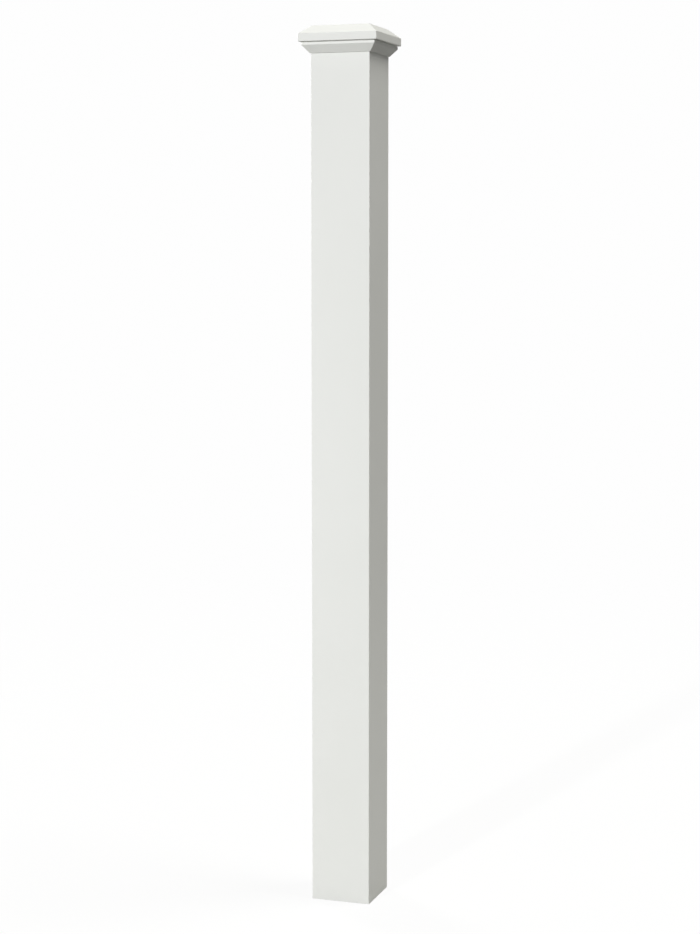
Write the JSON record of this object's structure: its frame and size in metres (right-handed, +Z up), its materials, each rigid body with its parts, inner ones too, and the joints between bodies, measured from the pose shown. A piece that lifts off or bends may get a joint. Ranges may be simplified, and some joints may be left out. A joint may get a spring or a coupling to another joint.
{
  "type": "newel post",
  "caption": "Plain square newel post of white PVC: a hollow extruded shaft, cut square at the foot, under a moulded cap with a chamfered neck, square fascia and bevelled top.",
  "frame": {"origin": "middle of the shaft's foot, on the surface that the post stands on", "axes": "+Z up the shaft to the cap, +X to the right and -Y out of the front face; the four sides are alike"},
  "size_m": [0.1352, 0.1352, 1.4732],
  "materials": {
    "extruded_pvc": "satin",
    "moulded_pvc": "satin"
  },
  "bodies": {
    "root": {"shaft": "extruded_pvc", "cap": "moulded_pvc"}
  },
  "joints": []
}
